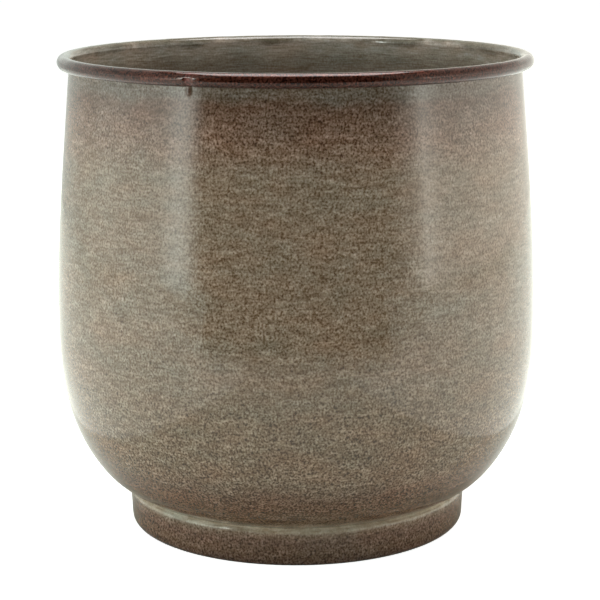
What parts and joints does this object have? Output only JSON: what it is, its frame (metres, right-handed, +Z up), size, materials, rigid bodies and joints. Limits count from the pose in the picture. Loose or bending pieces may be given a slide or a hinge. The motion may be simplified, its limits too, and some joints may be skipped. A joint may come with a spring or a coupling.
{
  "type": "metal planter",
  "caption": "Round bulged sheet-steel planter with a rolled rim and a low foot ring, in a glossy speckled brown and sage green paint.",
  "frame": {"origin": "centre of the circle that the foot ring stands on, on the floor", "axes": "+Z up along the pot's axis of revolution; the wall's welded seam stands at 246 degrees from +X towards +Y, left of the front, and -Y is the front"},
  "size_m": [0.24, 0.24, 0.238],
  "materials": {
    "wall_paint": "gloss, sage green sprayed with a fine brown speckle",
    "foot_paint": "gloss, brown speckle over sage green",
    "floor_paint": "gloss, thin brown speckle over sage green",
    "rod_steel": "reddish brown paint over steel rod"
  },
  "bodies": {
    "root": {"wall_shell": "wall_paint", "rim_rod": "rod_steel", "base_pan": "floor_paint", "foot_ring": "foot_paint"}
  },
  "joints": []
}
